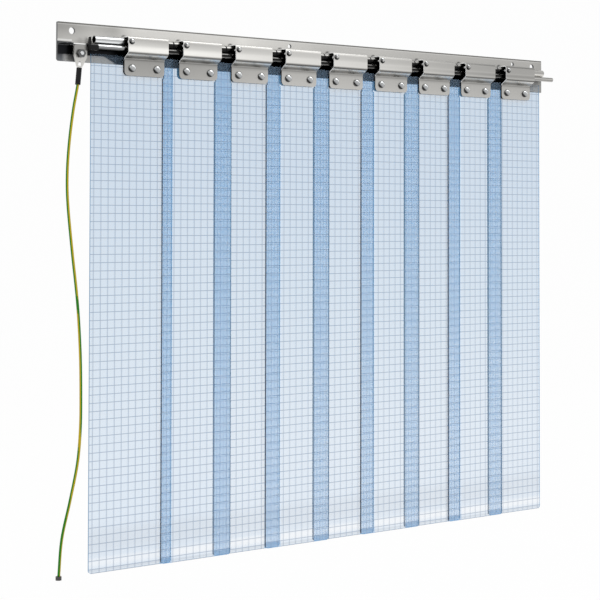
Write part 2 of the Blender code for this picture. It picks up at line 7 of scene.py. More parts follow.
import bmesh
import bpy
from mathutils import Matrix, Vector


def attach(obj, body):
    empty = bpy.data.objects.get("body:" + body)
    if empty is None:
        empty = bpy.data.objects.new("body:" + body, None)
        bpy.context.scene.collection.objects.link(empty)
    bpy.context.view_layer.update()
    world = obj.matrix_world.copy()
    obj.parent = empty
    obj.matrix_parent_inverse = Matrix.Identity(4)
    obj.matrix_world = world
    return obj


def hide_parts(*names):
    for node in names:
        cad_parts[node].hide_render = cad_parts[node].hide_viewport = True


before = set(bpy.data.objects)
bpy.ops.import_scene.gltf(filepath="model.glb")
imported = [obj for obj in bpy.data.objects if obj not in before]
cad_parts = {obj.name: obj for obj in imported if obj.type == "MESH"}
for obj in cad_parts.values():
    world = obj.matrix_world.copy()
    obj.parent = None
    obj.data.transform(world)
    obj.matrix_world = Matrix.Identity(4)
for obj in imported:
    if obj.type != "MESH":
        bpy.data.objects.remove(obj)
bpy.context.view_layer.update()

# Places and sizes repeated from the model.
strip_count = 9
pitch = 0.075
hangers_span = (strip_count - 1) * pitch
first_hanger_x = -0.27625
axis_y = -0.012
axis_z = 0.0034
rail_left = -0.38465
rail_right = 0.38465
rail_top = 0.0225
rail_bottom = -0.0225
strip_top = -0.0128
strip_bottom = -0.6071
strip_half_width = 0.049
first_strip_reach = 0.0412
rear_shift = 0.0024
tube_radius = 0.0048
rod_z = axis_z - 0.0081
rod_radius = 0.003
tab_x = -0.36085
bolt_z = axis_z - 0.0171
lug_y = axis_y - 0.0019
clamp_top = axis_z - 0.0207
screw_z = clamp_top - 0.0094
screw_offset = 0.01685
screw_seat_y = axis_y - 0.0028
guide_offset = -0.0227
guide_seat_y = axis_y - 0.0122

# Places along the rail where its tones and those of the shelf change: beside the tab of the
# earth lead, and where the last hanger ends.
tab_side = (-0.3665, -0.3655)
last_hanger_side = (0.352, 0.358)

# Tints of stainless sheet and of bright bar.
warm_steel = (1.0, 0.985, 0.945)
cool_steel = (0.97, 0.99, 1.0)
white = (1.0, 1.0, 1.0)


# Shader maths as Python sums.
class Level:
    """A shader value that takes part in sums; each operator adds its Math node."""

    def __init__(self, shading, socket):
        self.shading, self.socket = shading, socket

    def math(self, operation, *others):
        values = dict(enumerate((self, *others)))
        return self.shading.node("ShaderNodeMath", {"operation": operation}, values)

    def __add__(self, other):
        return self.math("ADD", other)

    def __mul__(self, other):
        return self.math("MULTIPLY", other)

    def __sub__(self, other):
        return self.math("SUBTRACT", other)

    def __rsub__(self, other):
        return (self * -1) + other

    def __truediv__(self, other):
        return self.math("DIVIDE", other)

    def __abs__(self):
        return self.math("ABSOLUTE")

    __radd__ = __add__
    __rmul__ = __mul__

    def clamped(self):
        return self.math("MINIMUM", 1).math("MAXIMUM", 0)


class Shading:
    """The nodes of one material or of the world."""

    def __init__(self, tree):
        self.tree = tree

    def node(self, kind, settings=None, values=None, output=0):
        """Adds a node: its settings come first, then the values or links of its sockets."""
        node = self.tree.nodes.new(kind)
        for name, setting in (settings or {}).items():
            if name == "stops":
                self.set_stops(node.color_ramp, setting)
            else:
                setattr(node, name, setting)
        for name, value in (values or {}).items():
            self.feed(node.inputs[name], value)
        return Level(self, node.outputs[output])

    def feed(self, socket, value):
        """Links a value to a socket, or sets the socket to a number or a colour."""
        if isinstance(value, Level):
            self.tree.links.new(value.socket, socket)
        elif socket.type == "RGBA":
            socket.default_value = (*value, 1)
        else:
            socket.default_value = value

    @staticmethod
    def set_stops(ramp, stops):
        while len(ramp.elements) > 1:
            ramp.elements.remove(ramp.elements[-1])
        for index, (position, color) in enumerate(stops):
            element = ramp.elements[0] if index == 0 else ramp.elements.new(position)
            element.position = position
            element.color = (*color, 1)

    def seen_by(self, *kinds):
        """1 for rays of these kinds, such as the camera's, and 0 for the rays that light the object."""
        seen, *others = [self.node("ShaderNodeLightPath", output=f"Is {kind} Ray") for kind in kinds]
        for other in others:
            seen = seen.math("MAXIMUM", other)
        return seen


class Finish(Shading):
    """One material, with the coordinates of the piece as Python values."""

    def __init__(self, name):
        self.material = bpy.data.materials.new(name)
        self.material.use_nodes = True
        super().__init__(self.material.node_tree)
        self.shader = self.tree.nodes["Principled BSDF"]
        self.place = self.node("ShaderNodeTexCoord", output="Object")
        self.x, self.y, self.z = self.parts(self.place)
        self.facing = self.parts(self.node("ShaderNodeTexCoord", output="Normal"))

    def parts(self, vector):
        """The three parts of a vector."""
        first = self.node("ShaderNodeSeparateXYZ", None, {0: vector})
        return [Level(self, output) for output in first.socket.node.outputs]

    def rise(self, value, low, high):
        """0 below low, 1 above high and smooth between them."""
        return self.node(
            "ShaderNodeMapRange",
            {"interpolation_type": "SMOOTHSTEP"},
            {"Value": value, "From Min": low, "From Max": high},
        )

    def band(self, value, low, high, soft):
        """1 between low and high, 0 outside them, and soft at both ends."""
        inner = self.rise(value, low - soft, low + soft)
        return inner - self.rise(value, high - soft, high + soft)

    def tones(self, value, stops, tint=white):
        """A ramp of grey levels at real values, tinted."""
        low, high = stops[0][0], stops[-1][0]
        span = high - low
        table = [((at - low) / span, [tone * part for part in tint]) for at, tone in stops]
        return self.node("ShaderNodeValToRGB", {"stops": table}, {0: (value - low) / span})

    def noise(self, scale, stretch=(1, 1, 1), detail=3.0):
        """Noise about 0, from -1 to 1."""
        place = self.node("ShaderNodeVectorMath", {"operation": "MULTIPLY"}, {0: self.place, 1: stretch})
        value = self.node("ShaderNodeTexNoise", None, {"Vector": place, "Scale": scale, "Detail": detail})
        return (value - 0.5) * 2

    def mix(self, factor, first, second, way="MIX"):
        """Two colours mixed: sockets 6 and 7 are the colours, and output 2 is the mixed one."""
        settings = {"data_type": "RGBA", "blend_type": way}
        return self.node("ShaderNodeMix", settings, {0: factor, 6: first, 7: second}, 2)

    def scaled(self, color, value):
        """A colour or a grey level multiplied by a value."""
        return self.node("ShaderNodeVectorMath", {"operation": "SCALE"}, {0: color, "Scale": value})

    def bump(self, height, distance, strength):
        values = {"Height": height, "Distance": distance, "Strength": strength}
        return self.node("ShaderNodeBump", None, values)

    def set(self, **sockets):
        """Links or sets inputs of the shader, named with underscores."""
        for name, value in sockets.items():
            self.feed(self.shader.inputs[name.replace("_", " ")], value)
        return self.material


# Stainless sheet.
def add_grain(finish, color, grain, roughness, metallic=1.0):
    """The fine rolled grain of stainless sheet, along the rail."""
    streak_scale, speck_scale, specks_to_streaks, grain_depth = 900, 420, 0.6, 0.00002
    streaks = finish.noise(streak_scale, (0.03, 1, 1))
    specks = finish.noise(speck_scale, (1, 1, 1), 1.0)
    tone = 1 + streaks * grain + specks * (grain * specks_to_streaks)
    return finish.set(
        Base_Color=finish.scaled(color, tone),
        Roughness=(streaks * 0.05) + roughness,
        Metallic=metallic,
        Normal=finish.bump(streaks, grain_depth, 0.25),
    )


def painted_rail_light(finish):
    """Painted reflection and shade on the plate: bright at the left of the middle, duller to the right and
    in painted shade at the top of the free left end.
    """
    along = finish.tones(
        finish.x,
        [(rail_left, 0.48), (-0.365, 0.53), (-0.34, 0.67), (-0.31, 0.6), (-0.285, 0.68),
         (-0.15, 0.69), (-0.13, 0.76), (-0.11, 0.69), (-0.05, 0.615), (0.0, 0.545), (0.08, 0.55),
         (0.15, 0.5), (0.3, 0.455), (0.36, 0.46), (rail_right, 0.4)],
        warm_steel,
    )
    # Painted shade darkens the top of the plate, and is kept only at the free left end.
    downward = finish.tones(
        finish.z,
        [(rail_bottom, 1.0), (0.004, 1.0), (0.01, 0.85), (0.016, 0.72), (rail_top, 0.71)],
    )
    downward = finish.mix(finish.rise(finish.x, -0.315, -0.285), downward, white)
    return finish.mix(1.0, along, downward, "MULTIPLY")


def rail_shade(finish):
    """The shade of the shelf on the lower part, apart from the places that the light reaches."""
    deepest, lit_grey, tab_grey = (0.028, 0.031, 0.036), (0.42, 0.415, 0.4), (0.6, 0.6, 0.6)
    end_grey, end_grey_over_strips = (0.34, 0.34, 0.33), (0.31, 0.31, 0.3)
    grey_over_strips = (0.16, 0.17, 0.19)
    past_the_end = 1.0
    drop = finish.z * -1
    depth = finish.tones(
        finish.z,
        [(rail_bottom, 0.19), (-0.018, 0.13), (-0.013, 0.06), (-0.006, 0.014), (-0.0025, 0.014),
         (-0.0012, 0.05), (0.0, 0.1), (0.0008, 0.2)],
        (0.93, 0.98, 1.06),
    )
    # Right of the tab the deepest shade starts along a slanted line.
    slant, slant_x = -1.9, -0.352
    shade_edge = finish.x - (finish.z * slant + slant_x)
    deep = finish.rise(shade_edge, -0.0015, 0.003)
    shade = finish.mix(deep, depth, deepest)
    past_tab = finish.band(finish.x, tab_x + 0.004, past_the_end, 0.003) * (1 - deep)
    shade = finish.mix(past_tab * finish.rise(drop, 0.009, 0.016), shade, lit_grey)
    before_tab = finish.band(finish.x, -0.376, -0.3655, 0.004) * finish.rise(drop, 0.01, 0.017)
    shade = finish.mix(before_tab, shade, tab_grey)
    right_end = finish.rise(finish.x, *last_hanger_side) * finish.rise(drop, 0.004, 0.008)
    shade = finish.mix(right_end, shade, end_grey)
    over_strips = finish.rise(finish.z, strip_top, strip_top + 0.0004)
    shade = finish.mix(right_end * over_strips, shade, end_grey_over_strips)
    return finish.mix(deep * over_strips * (1 - right_end) * 0.6, shade, grey_over_strips)


def rail_edges(finish, color):
    """A dark line of painted shade along the folded top edge with a pale painted highlight under it, and
    painted shade on the cut edges.
    """
    under_edge_highlight, top_edge_shade, cut_edge_shade = (0.9, 0.9, 0.88), (0.15, 0.148, 0.14), (0.12, 0.122, 0.125)
    under_line = finish.band(finish.z, rail_top - 0.0028, rail_top - 0.0018, 0.0003)
    color = finish.mix(under_line * 0.25, color, under_edge_highlight)
    top_line = finish.rise(finish.z, rail_top - 0.0019, rail_top - 0.0012)
    color = finish.mix(top_line * 0.9, color, top_edge_shade)
    cut_edge = 1 - finish.rise(abs(finish.facing[1]), 0.4, 0.7)
    return finish.mix(cut_edge, color, cut_edge_shade)


def behind_hooks(finish):
    """1 in the soft round shade on the rail behind the left side of each hook."""
    half_width, half_height = 0.0042, 0.003
    first_x, middle_z = first_hanger_x - 0.0215, axis_z + 0.0066
    from_hook = ((finish.x - first_x) / pitch).math("FRACT") - 0.5
    across = (abs(abs(from_hook) - 0.5) * pitch) / half_width
    upward = (finish.z - middle_z) / half_height
    reach = (across * across + upward * upward).math("SQRT")
    last_side = first_hanger_x + (strip_count - 0.5) * pitch
    hooks = finish.band(finish.x, first_hanger_x - 0.04, last_side, 0.002)
    return (1 - finish.rise(reach, 0.3, 1.2)) * hooks


def rail_finish():
    finish = Finish("rail_stainless")
    color = painted_rail_light(finish)
    # A painted highlight runs as a bright line above the shelf up to the tab of the earth lead.
    left_part = 1 - finish.rise(finish.x, *tab_side)
    highlight_above_shelf = finish.band(finish.z, 0.0008, 0.0029, 0.0005) * left_part
    color = finish.mix(highlight_above_shelf, color, (0.74, 0.74, 0.72))
    below_shelf = 1 - finish.rise(finish.z - left_part * 0.0028, -0.0034, -0.0018)
    color = finish.mix(below_shelf, color, rail_shade(finish))
    color = rail_edges(finish, color)
    color = finish.mix(behind_hooks(finish) * 0.85, color, (0.03, 0.03, 0.032))
    return add_grain(finish, color, grain=0.05, roughness=0.4)


def shelf_finish():
    finish = Finish("shelf_stainless")
    # The leg that runs down at the back is dark with painted shade, apart from its end past the last
    # hanger.
    leg = 1 - finish.rise(finish.z, axis_z - 0.0072, axis_z - 0.0064)
    back = finish.rise(finish.y, axis_y + 0.0045, axis_y + 0.0055)
    right_end = finish.rise(finish.x, *last_hanger_side)
    shaded = finish.mix(right_end, (0.014, 0.015, 0.017), (0.24, 0.24, 0.235))
    color = finish.mix(leg * back, (0.6, 0.59, 0.56), shaded)
    # The front edge is in painted shade: dark and mottled with painted reflections up to the tab, and a
    # dull grey line after it.
    band = finish.band(finish.z, axis_z - 0.0078, axis_z - 0.0048, 0.0003)
    mottled_reflection = finish.rise(finish.noise(260, (1, 1, 1.4), 2.0), -0.1, 0.5)
    left_edge = finish.mix(mottled_reflection, (0.05, 0.052, 0.055), (0.14, 0.142, 0.145))
    edge = finish.mix(finish.rise(finish.x, *tab_side), left_edge, (0.19, 0.19, 0.19))
    color = finish.mix(band, color, edge)
    # The bend at the head of the tab catches the light.
    tab = finish.band(finish.x, tab_x - 0.0083, tab_x + 0.0074, 0.0006)
    bend = finish.band(finish.z, axis_z - 0.0066, axis_z - 0.0053, 0.0003) * tab
    color = finish.mix(bend, color, (0.95, 0.95, 0.93))
    return add_grain(finish, color, grain=0.04, roughness=0.35)


def hanger_finish():
    """Painted reflections and shade on the folds of each hanger, as tones down its height, which change
    along the rail.
    """
    finish = Finish("hanger_stainless")
    height = finish.z - axis_z
    left = finish.tones(
        height,
        [(-0.039, 0.41), (-0.0255, 0.36), (-0.0224, 0.34), (-0.0212, 0.29), (-0.0202, 0.175),
         (-0.0192, 0.44), (-0.0182, 0.32), (-0.0172, 0.28), (-0.0162, 0.52), (-0.0151, 1.0),
         (-0.0143, 0.42), (-0.0136, 0.18), (-0.0129, 0.18), (-0.012, 0.72), (-0.0109, 0.97),
         (-0.0075, 0.95), (-0.0062, 0.86), (-0.004, 0.68), (-0.0015, 0.6), (0.002, 0.5),
         (0.0033, 0.5), (0.0043, 0.72), (0.0054, 0.5), (0.0066, 0.45)],
        warm_steel,
    )
    middle = finish.tones(
        height,
        [(-0.039, 0.55), (-0.0245, 0.49), (-0.0218, 0.4), (-0.0205, 0.27), (-0.0192, 0.41),
         (-0.0181, 0.35), (-0.0171, 0.32), (-0.016, 0.62), (-0.015, 1.0), (-0.0142, 0.13),
         (-0.0133, 0.13), (-0.0126, 0.34), (-0.0117, 0.66), (-0.011, 0.76), (-0.0055, 0.74),
         (-0.003, 0.63), (-0.0005, 0.59), (0.0022, 0.6), (0.0035, 0.78), (0.0052, 0.6),
         (0.0063, 0.5)],
        warm_steel,
    )
    right = finish.tones(
        height,
        [(-0.039, 0.5), (-0.0245, 0.46), (-0.0221, 0.42), (-0.0206, 0.27), (-0.0194, 0.41),
         (-0.018, 0.35), (-0.0168, 0.3), (-0.0156, 0.7), (-0.0145, 0.76), (-0.0136, 0.12),
         (-0.0129, 0.12), (-0.012, 0.42), (-0.0108, 0.46), (-0.0094, 0.35), (-0.0081, 0.32),
         (-0.0064, 0.36), (-0.0053, 0.44), (-0.004, 0.39), (0.0032, 0.38), (0.004, 0.2),
         (0.005, 0.17), (0.0063, 0.3)],
        warm_steel,
    )
    color = finish.mix(finish.rise(finish.x, -0.27, -0.05), left, middle)
    color = finish.mix(finish.rise(finish.x, -0.05, 0.32), color, right)
    # The cut sides carry a painted highlight at the hook and painted shade, black, at the clamp, and are
    # hardly metallic.
    side = finish.rise(abs(finish.facing[0]), 0.6, 0.8)
    clamp = 1 - finish.rise(height, -0.021, -0.0195)
    side_light_and_shade = finish.mix(clamp, (0.97, 0.97, 0.96), (0.02, 0.02, 0.022))
    color = finish.mix(side, color, side_light_and_shade)
    # The inner face of the hook lies in its own shade.
    inside = finish.rise(finish.y, axis_y - 0.0117, axis_y - 0.0113) * (1 - side)
    inside = inside * (1 - finish.rise(height, -0.0005, 0.0005)) * finish.rise(height, -0.012, -0.0112)
    color = finish.mix(inside * 0.9, color, (0.05, 0.05, 0.052))
    return add_grain(finish, color, grain=0.035, roughness=0.32, metallic=1 - side * 0.85)


def lug_finish():
    """The lug of the earth lead in painted light: a painted highlight on the bend at its top, then duller,
    and lighter at its foot.
    """
    finish = Finish("lug_steel")
    color = finish.tones(
        finish.z,
        [(-0.0255, 0.62), (-0.0213, 0.6), (-0.0167, 0.55), (-0.0133, 0.4), (-0.011, 0.34),
         (-0.005, 0.33), (-0.0042, 0.37), (-0.0034, 0.6), (-0.0026, 0.93), (-0.0018, 0.93),
         (0.0, 0.5)],
        warm_steel,
    )
    return add_grain(finish, color, grain=0.06, roughness=0.3)


def plain_steel_finish(name, tone, roughness):
    finish = Finish(name)
    return add_grain(finish, (tone, tone * 0.985, tone * 0.95), 0.06, roughness)


# Bright bar and screws.
def bar_finish(name, centre_z, radius, shade_start, open_stops, shaded_stops, end_stops):
    """Bright drawn bar with painted bands of reflection along it, and painted shade that dulls them among
    the hangers.
    """
    finish = Finish(name)
    height = (finish.z - centre_z) / radius
    among = finish.band(finish.x, first_hanger_x - shade_start, rail_right - 0.006, 0.0012)
    right_end = finish.rise(finish.x, first_hanger_x + hangers_span, rail_right - 0.03)
    in_the_open = finish.tones(height, open_stops, cool_steel)
    in_shade = finish.tones(height, shaded_stops, warm_steel)
    color = finish.mix(among, in_the_open, in_shade)
    return finish, finish.mix(right_end, color, finish.tones(height, end_stops, warm_steel))


def tube_finish():
    finish, color = bar_finish(
        "bright_tube", axis_z, tube_radius, 0.0285,
        [(-1.0, 0.1), (-0.85, 0.2), (-0.7, 0.72), (-0.5, 0.98), (-0.3, 0.66), (0.0, 0.42),
         (0.25, 0.55), (0.46, 0.9), (0.62, 0.6), (0.85, 0.4), (1.0, 0.36)],
        [(-1.0, 0.01), (0.0, 0.02), (0.25, 0.1), (0.45, 0.33), (0.65, 0.42), (0.85, 0.3),
         (1.0, 0.25)],
        [(-1.0, 0.7), (-0.8, 1.0), (-0.5, 0.9), (-0.3, 0.5), (0.0, 0.36), (0.5, 0.42), (1.0, 0.36)],
    )
    # Each hook throws a narrow black shadow on the tube at its left.
    shadow_x = first_hanger_x - 0.036
    from_shadow = abs(((finish.x - shadow_x) / pitch + 0.5).math("FRACT") - 0.5) * pitch
    hooks = finish.band(finish.x, first_hanger_x, 0.34, 0.004)
    shadow = (1 - finish.rise(from_shadow, 0.0006, 0.0013)) * hooks
    color = finish.mix(shadow, color, (0.008, 0.008, 0.009))
    # The open end shows a bore in painted shade.
    outward, upward = finish.y - axis_y, finish.z - axis_z
    from_axis = (outward * outward + upward * upward).math("SQRT")
    bore_shade = 1 - finish.rise(from_axis, 0.0040, 0.0043)
    color = finish.mix(bore_shade, color, (0.006, 0.006, 0.007))
    return finish.set(Base_Color=color, Roughness=0.22, Metallic=1.0)


def rod_finish():
    finish, color = bar_finish(
        "bright_rod", rod_z, rod_radius, 0.0242,
        [(-1.0, 0.06), (-0.7, 0.12), (-0.45, 0.3), (-0.1, 0.24), (0.2, 0.55), (0.5, 0.8),
         (0.8, 0.55), (1.0, 0.2)],
        [(-1.0, 0.14), (-0.7, 0.17), (-0.4, 0.02), (0.3, 0.01), (0.5, 0.1), (0.72, 0.4),
         (1.0, 0.35)],
        [(-1.0, 0.5), (-0.75, 0.42), (-0.45, 0.28), (-0.2, 0.36), (0.05, 0.56), (0.3, 0.45),
         (0.5, 0.17), (0.75, 0.25), (1.0, 0.5)],
    )
    return finish.set(Base_Color=color, Roughness=0.2, Metallic=1.0)


def polished_painted_reflection(name, darkest, middle, brightest):
    """Polished screw heads with painted reflection: dark at the lower left, with a bright painted
    highlight as a rim at the upper right.
    """
    finish = Finish(name)
    across = finish.facing[0] * 0.6 + finish.facing[2] * 0.8
    color = finish.tones(
        across,
        [(-1.0, darkest), (-0.52, darkest), (-0.34, middle * 0.8), (-0.15, middle), (0.1, middle),
         (0.2, brightest * 0.85), (0.35, brightest), (0.5, middle), (1.0, middle * 0.9)],
        cool_steel,
    )
    specks = finish.noise(700)
    return finish.set(Base_Color=color, Roughness=(specks * 0.04) + 0.2, Metallic=1.0)


# Moulded plastic, rubber and the cover of the lead.
def moulded_finish(name, tone, roughness):
    finish = Finish(name)
    cells = finish.noise(1600)
    return finish.set(
        Base_Color=finish.scaled((tone, tone, tone * 1.1), 1 + cells * 0.3),
        Roughness=(cells * 0.08) + roughness,
        Specular_IOR_Level=0.2,
        Normal=finish.bump(cells, 0.00003, 0.4),
    )


def cover_finish(name, color):
    finish = Finish(name)
    cells = finish.noise(1200)
    return finish.set(
        Base_Color=finish.scaled(color, 1 + cells * 0.08),
        Roughness=0.38,
        Specular_IOR_Level=0.2,
        Normal=finish.bump(cells, 0.00002, 0.3),
    )


# Clear strips. Places across them are measured from the middle of the first hanger.
def printed_grid(finish, across, shift_x, shift_z):
    """1 on the lines of the printed square grid, which wander a little."""
    step, upright_half_width, level_half_width = 0.00945, 0.00042, 0.0004
    furthest_wander = 0.0003
    wander = finish.noise(9, (1, 1, 0.6), 1.0) * furthest_wander

    def lines(value, half_width):
        offset = abs((value / step).math("FRACT") - 0.5) * step
        return 1 - finish.rise(offset, half_width * 0.4, half_width * 1.6)

    # Whole steps are added so that no value is negative.
    upright = lines(across + 10 * step + shift_x + wander, upright_half_width)
    level = lines(finish.z + 100 * step + shift_z + wander, level_half_width)
    return upright.math("MAXIMUM", level)


def lapped_sides(finish, across, behind):
    """1 on the sides of each strip that lap its neighbours, apart from the outermost sides."""
    from_middle = ((across + (pitch if behind else 0)) / (2 * pitch)).math("FRACT") - 0.5
    lap_start = pitch - strip_half_width
    lapped = finish.rise(abs(from_middle) * (2 * pitch), lap_start - 0.0008, lap_start)
    lapped = lapped * finish.band(across, -0.02, hangers_span + 0.02, 0.001)
    if not behind:
        # The first strip is narrower at its right, and the lap on the second one ends with it.
        lapped = lapped * (1 - finish.band(across, first_strip_reach, 0.06, 0.0002))
    return lapped


def pvc_finish(name, middle_y, shift_x, shift_z, behind):
    """Clear soft sheet with a printed grid. Where two strips lap they cling and look deeper."""
    sheet_alpha, printed_alpha, left_line_alpha = 0.385, 0.78, 0.85
    left_side_alpha, right_side_alpha, last_side_clearer = 0.95, 0.75, 0.4
    printed_blue, rear_lap_blue, front_lap_blue = (0.09, 0.16, 0.29), (0.12, 0.52, 0.92), (0.27, 0.55, 0.9)
    left_line_blue, right_line_blue = (0.025, 0.045, 0.085), (0.1, 0.25, 0.48)
    left_side_blue, right_side_blue = (0.026, 0.042, 0.075), (0.14, 0.27, 0.43)
    first_side_blue, last_side_blue = (0.2, 0.36, 0.55), (0.3, 0.48, 0.7)
    rail_grey = (0.3, 0.34, 0.4)
    ramp_height = 0.6
    finish = Finish(name)
    across = finish.x - first_hanger_x
    height = finish.z - strip_bottom
    grid = printed_grid(finish, across, shift_x, shift_z)
    lapped = lapped_sides(finish, across, behind)

    # The sheet is paler towards its lower end and clearer at the lower right.
    body = finish.node(
        "ShaderNodeValToRGB",
        {"stops": [(0.0, (0.37, 0.57, 0.8)), (0.2, (0.35, 0.56, 0.79)), (0.5, (0.23, 0.46, 0.7)),
                   (0.8, (0.15, 0.37, 0.62)), (1.0, (0.12, 0.33, 0.56))]},
        {0: height / ramp_height},
    )
    clouds = finish.noise(5, (1.6, 1, 0.5), 2.0)
    low = 1 - finish.rise(height, 0.05, 0.3)
    alpha = sheet_alpha + clouds * 0.02 + finish.rise(height, 0.2, 0.6) * 0.06
    alpha = alpha - finish.rise(across, 0.03, 0.2) * low * 0.035

    # The lower edge curls a little: a painted highlight as a soft bright band, with painted shade as a
    # darker one above and below it.
    curl_highlight = finish.band(height, 0.0075, 0.0165, 0.0035) * (1 - lapped * 0.72)
    curl_highlight = curl_highlight * (0.75 + finish.rise(across, first_strip_reach, 0.05) * 0.25)
    above = finish.band(height, 0.023, 0.05, 0.009)
    under = finish.band(height, 0.0016, 0.0045, 0.0009)
    rim = 1 - finish.rise(height, 0.0005, 0.0012)
    lap_foot = lapped * (1 - finish.rise(height, 0.0055, 0.0085))
    body = finish.mix(curl_highlight * 0.62, body, (0.9, 0.95, 1.0))
    body = finish.mix(above * 0.3, body, (0.12, 0.2, 0.3))
    body = finish.mix(under * 0.6, body, (0.2, 0.3, 0.42))
    body = finish.mix(rim * 0.8, body, (0.08, 0.15, 0.26))
    body = finish.mix(lap_foot * 0.6, body, (0.07, 0.19, 0.37))
    alpha = alpha - curl_highlight * 0.05 + above * 0.03 + under * 0.06 + rim * 0.3 + lap_foot * 0.14

    # The laps are a deeper blue.
    if behind:
        streaks = finish.noise(420, (0.07, 1, 1), 2.0)
        lighter = finish.rise(across, 0.1, 0.3) * 0.07 + low * 0.03
        alpha = alpha + lapped * (0.12 - lighter + streaks * 0.09)
        body = finish.mix(lapped * 0.55, body, rear_lap_blue)
    else:
        body = finish.mix(lapped * 0.5, body, front_lap_blue)

    alpha = alpha + grid * (printed_alpha - alpha) * 0.72
    body = finish.mix(grid * 0.8, body, printed_blue)

    # A strip has a dark line along its left edge and a fine blue one along its right edge.
    pitches_left = 4 if behind else 3
    far_left = strip_half_width + pitches_left * pitch
    from_left = ((across + far_left) / (2 * pitch)).math("FRACT") * (2 * pitch)
    past_first_edge = finish.rise(across, -0.03, -0.02)
    line_end = 0.0015 if behind else 0.0008
    left_line = (1 - finish.rise(from_left, line_end - 0.0006, line_end)) * past_first_edge
    right_edge = 2 * strip_half_width
    right_line = finish.band(from_left, right_edge - 0.0006, right_edge + 0.001, 0.0002)
    alpha = alpha + left_line * (left_line_alpha - alpha) + right_line * past_first_edge * 0.03
    body = finish.mix(left_line, body, left_line_blue)
    body = finish.mix(right_line * 0.25, body, right_line_blue)

    # Before the rail plate the sheet takes the plate's grey.
    before_rail = finish.rise(finish.z, rail_bottom - 0.0013, rail_bottom - 0.0003)
    alpha = alpha * (1 - before_rail * 0.72)
    body = finish.mix(before_rail * 0.6, body, rail_grey)

    # The back face is almost clear, so that a ray meets the colour of a strip once.
    back = finish.rise(finish.y, middle_y, middle_y + 0.0004)
    alpha = alpha * (1 - back) + grid * back * 0.16

    # The cut sides are dark, but pale on the first strip's left and the last strip's right. A side
    # that is seen through its strip counts as a left one.
    left_side = finish.rise(finish.facing[0] * -1, 0.6, 0.8)
    right_side = finish.rise(finish.facing[0], 0.6, 0.8)
    first = 1 - finish.rise(across, -0.066, -0.064)
    last = finish.rise(across, hangers_span + 0.04, hangers_span + 0.045)
    side_blue = finish.mix(first, left_side_blue, first_side_blue)
    side_blue = finish.mix(last, side_blue, last_side_blue)
    body = finish.mix(left_side, body, side_blue)
    body = finish.mix(right_side, body, right_side_blue)
    left_alpha = left_side_alpha - last * last_side_clearer
    alpha = alpha + left_side * (left_alpha - alpha) + right_side * (right_side_alpha - alpha)

    ripples = finish.noise(14, (1, 1, 0.15), 2.0)
    return finish.set(
        Base_Color=body,
        Alpha=alpha.clamped(),
        Roughness=0.16,
        Specular_IOR_Level=0.25,
        Normal=finish.bump(ripples, 0.0006, 0.35),
    )


# Meshes for the detailed pieces.
def turned(profile, centre, segments):
    """A closed mesh turned about Y from (radius, height) pairs that run from axis to axis."""
    bm = bmesh.new()
    rings = []
    for radius, height in profile:
        ring = []
        for step in range(segments if radius else 1):
            angle = 2 * math.pi * step / segments
            offset = Vector((radius * math.cos(angle), height, radius * math.sin(angle)))
            ring.append(bm.verts.new(Vector(centre) + offset))
        rings.append(ring)
    for lower, upper in zip(rings, rings[1:]):
        for step in range(segments):
            after = (step + 1) % segments
            corners = [
                lower[step % len(lower)], lower[after % len(lower)],
                upper[after % len(upper)], upper[step % len(upper)],
            ]
            unique = list(dict.fromkeys(corners))
            if len(unique) > 2:
                bm.faces.new(unique)
    bmesh.ops.recalc_face_normals(bm, faces=bm.faces)
    return bm


def prism(outline, low, high):
    """An outline of (x, z) points pushed along Y."""
    bm = bmesh.new()
    first = [bm.verts.new((x, low, z)) for x, z in outline]
    second = [bm.verts.new((x, high, z)) for x, z in outline]
    bm.faces.new(first)
    bm.faces.new(second[::-1])
    for index in range(len(outline)):
        after = (index + 1) % len(outline)
        bm.faces.new((first[index], first[after], second[after], second[index]))
    bmesh.ops.recalc_face_normals(bm, faces=bm.faces)
    return bm


def arc(centre, radius, start, sweep, steps):
    """Points (x, z) along an arc, with its angles in degrees and both ends included."""
    angles = [math.radians(start + sweep * step / steps) for step in range(steps + 1)]
    return [
        (centre[0] + radius * math.cos(angle), centre[1] + radius * math.sin(angle))
        for angle in angles
    ]


def new_piece(name, bm, materials):
    mesh = bpy.data.meshes.new(name)
    bm.to_mesh(mesh)
    bm.free()
    for material in materials:
        mesh.materials.append(material)
    piece = bpy.data.objects.new(name, mesh)
    bpy.context.scene.collection.objects.link(piece)
    return piece


def joined(name, parts, materials):
    """One piece from (bmesh, material index) pairs, smooth apart from its sharp edges."""
    sharp_angle = math.radians(35)
    whole = bmesh.new()
    for bm, index in parts:
        for face in bm.faces:
            face.material_index = index
        part = bpy.data.meshes.new("part")
        bm.to_mesh(part)
        bm.free()
        whole.from_mesh(part)
        bpy.data.meshes.remove(part)
    piece = new_piece(name, whole, materials)
    piece.data.shade_smooth()
    piece.data.set_sharp_from_angle(angle=sharp_angle)
    return piece


def dome_profile(radius, height, seat):
    """A button head that rises towards the front, with a short upright rim."""
    rim_share, steps = 0.18, 8
    rim = height * rim_share
    points = [(0, seat), (radius, seat), (radius, seat - rim)]
    for step in range(1, steps + 1):
        angle = math.pi / 2 * step / steps
        reach = radius * math.cos(angle) if step < steps else 0
        points.append((reach, seat - rim - (height - rim) * math.sin(angle)))
    return points


def nut_plate_outline(x):
    half_length, half_height, corner = 0.02145, 0.006, 0.0025
    outline = []
    for side_x, side_z, start in ((1, 1, 0), (-1, 1, 90), (-1, -1, 180), (1, -1, 270)):
        centre = (x + side_x * (half_length - corner), screw_z + side_z * (half_height - corner))
        outline += arc(centre, corner, start, 90, 4)
    return outline


